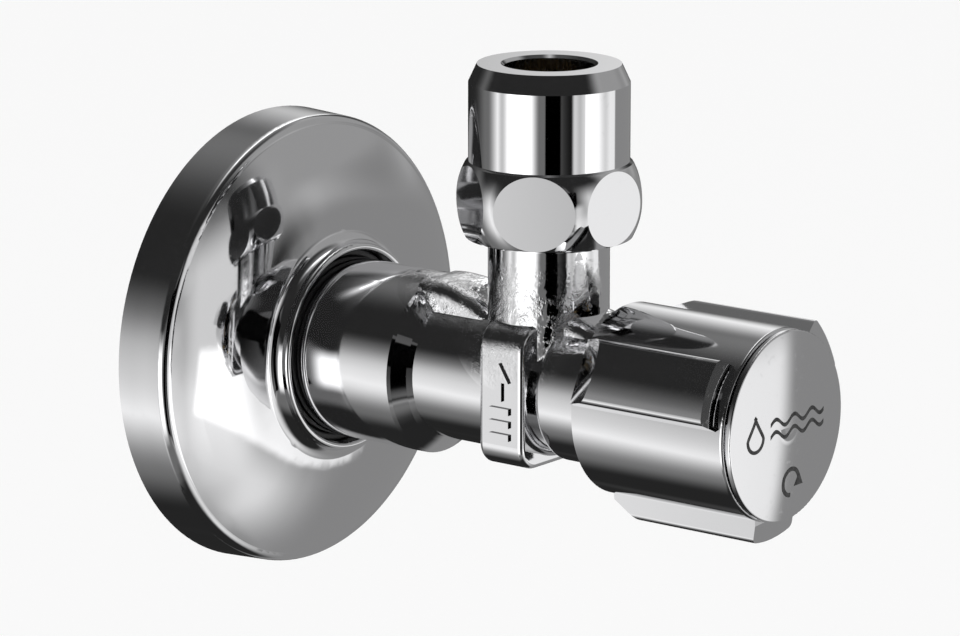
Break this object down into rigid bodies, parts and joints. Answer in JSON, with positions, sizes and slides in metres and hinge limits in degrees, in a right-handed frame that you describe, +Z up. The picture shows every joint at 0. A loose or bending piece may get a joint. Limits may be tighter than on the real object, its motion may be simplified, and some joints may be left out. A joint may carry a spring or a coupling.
{
  "type": "angle stop valve",
  "caption": "Chrome angle stop valve with a sliding wall rosette, a winged knob, a check cartridge in the inlet and a compression nut on the outlet.",
  "frame": {"origin": "on the valve's axis in the wall plane, where the inlet thread enters the wall", "axes": "+Y into the wall along the inlet thread, +Z up along the outlet, the knob points along -Y"},
  "size_m": [0.054, 0.0854, 0.0639],
  "materials": {
    "chrome_body": "polished, cast surface left slightly uneven",
    "chrome_polished": "mirror polished",
    "brass": "machined",
    "steel": "zinc plated",
    "black_rubber": "moulded",
    "fibre": "pressed fibre",
    "white_plastic": "moulded",
    "blue_plastic": "moulded",
    "black_plastic": "moulded"
  },
  "bodies": {
    "valve": {"valve_body": "chrome_body", "thread_seal_ring": "white_plastic", "check_housing": "white_plastic", "check_oring": "black_rubber", "check_spring": "steel", "check_retainer": "white_plastic", "bonnet": "brass", "bonnet_seal": "fibre"},
    "handle": {"knob": "chrome_polished", "knob_cap": "chrome_polished", "knob_insert": "black_plastic", "knob_screw": "steel", "spindle": "brass", "spindle_oring_rear": "black_rubber", "spindle_oring_front": "black_rubber", "spindle_clip": "steel"},
    "piston": {"valve_piston": "brass", "piston_oring": "black_rubber", "seat_washer": "black_rubber", "washer_screw": "brass"},
    "poppet": {"check_poppet": "blue_plastic", "poppet_seal": "black_rubber"},
    "union_ring": {"compression_ring": "brass"},
    "union_nut": {"compression_nut": "chrome_polished"},
    "rosette_grip": {"rosette_ring": "black_rubber"},
    "rosette_plate": {"rosette": "chrome_polished"}
  },
  "joints": [
    {"name": "handle_turn", "type": "hinge", "parent": "valve", "child": "handle", "pos_m": [0, -0.0633, 0], "axis": [0, -1, 0], "range_deg": [0, 1080]},
    {"name": "piston_travel", "type": "slide", "parent": "valve", "child": "piston", "axis": [0, -1, 0], "range_m": [0, 0.0046]},
    {"name": "poppet_travel", "type": "slide", "parent": "valve", "child": "poppet", "axis": [0, -1, 0], "range_m": [0, 0.0025], "stiffness_N_per_m": 60, "springref_m": -0.002, "deforming": ["check_spring"]},
    {"name": "union_lift", "type": "slide", "parent": "valve", "child": "union_ring", "axis": [0, 0, 1], "range_m": [0, 0.0095]},
    {"name": "nut_turn", "type": "hinge", "parent": "union_ring", "child": "union_nut", "pos_m": [0, -0.0415, 0.026], "axis": [0, 0, 1], "range_deg": [0, 2520]},
    {"name": "rosette_slide", "type": "slide", "parent": "valve", "child": "rosette_grip", "axis": [0, -1, 0], "range_m": [0, 0.0125]},
    {"name": "rosette_turn", "type": "hinge", "parent": "rosette_grip", "child": "rosette_plate", "pos_m": [0, -0.01, 0], "axis": [0, -1, 0], "continuous": true}
  ],
  "couplings": [
    {"joint": "piston_travel", "follows": "handle_turn", "m_per_rad": 0.00023873},
    {"joint": "union_lift", "follows": "nut_turn", "m_per_rad": 0.00021279}
  ]
}
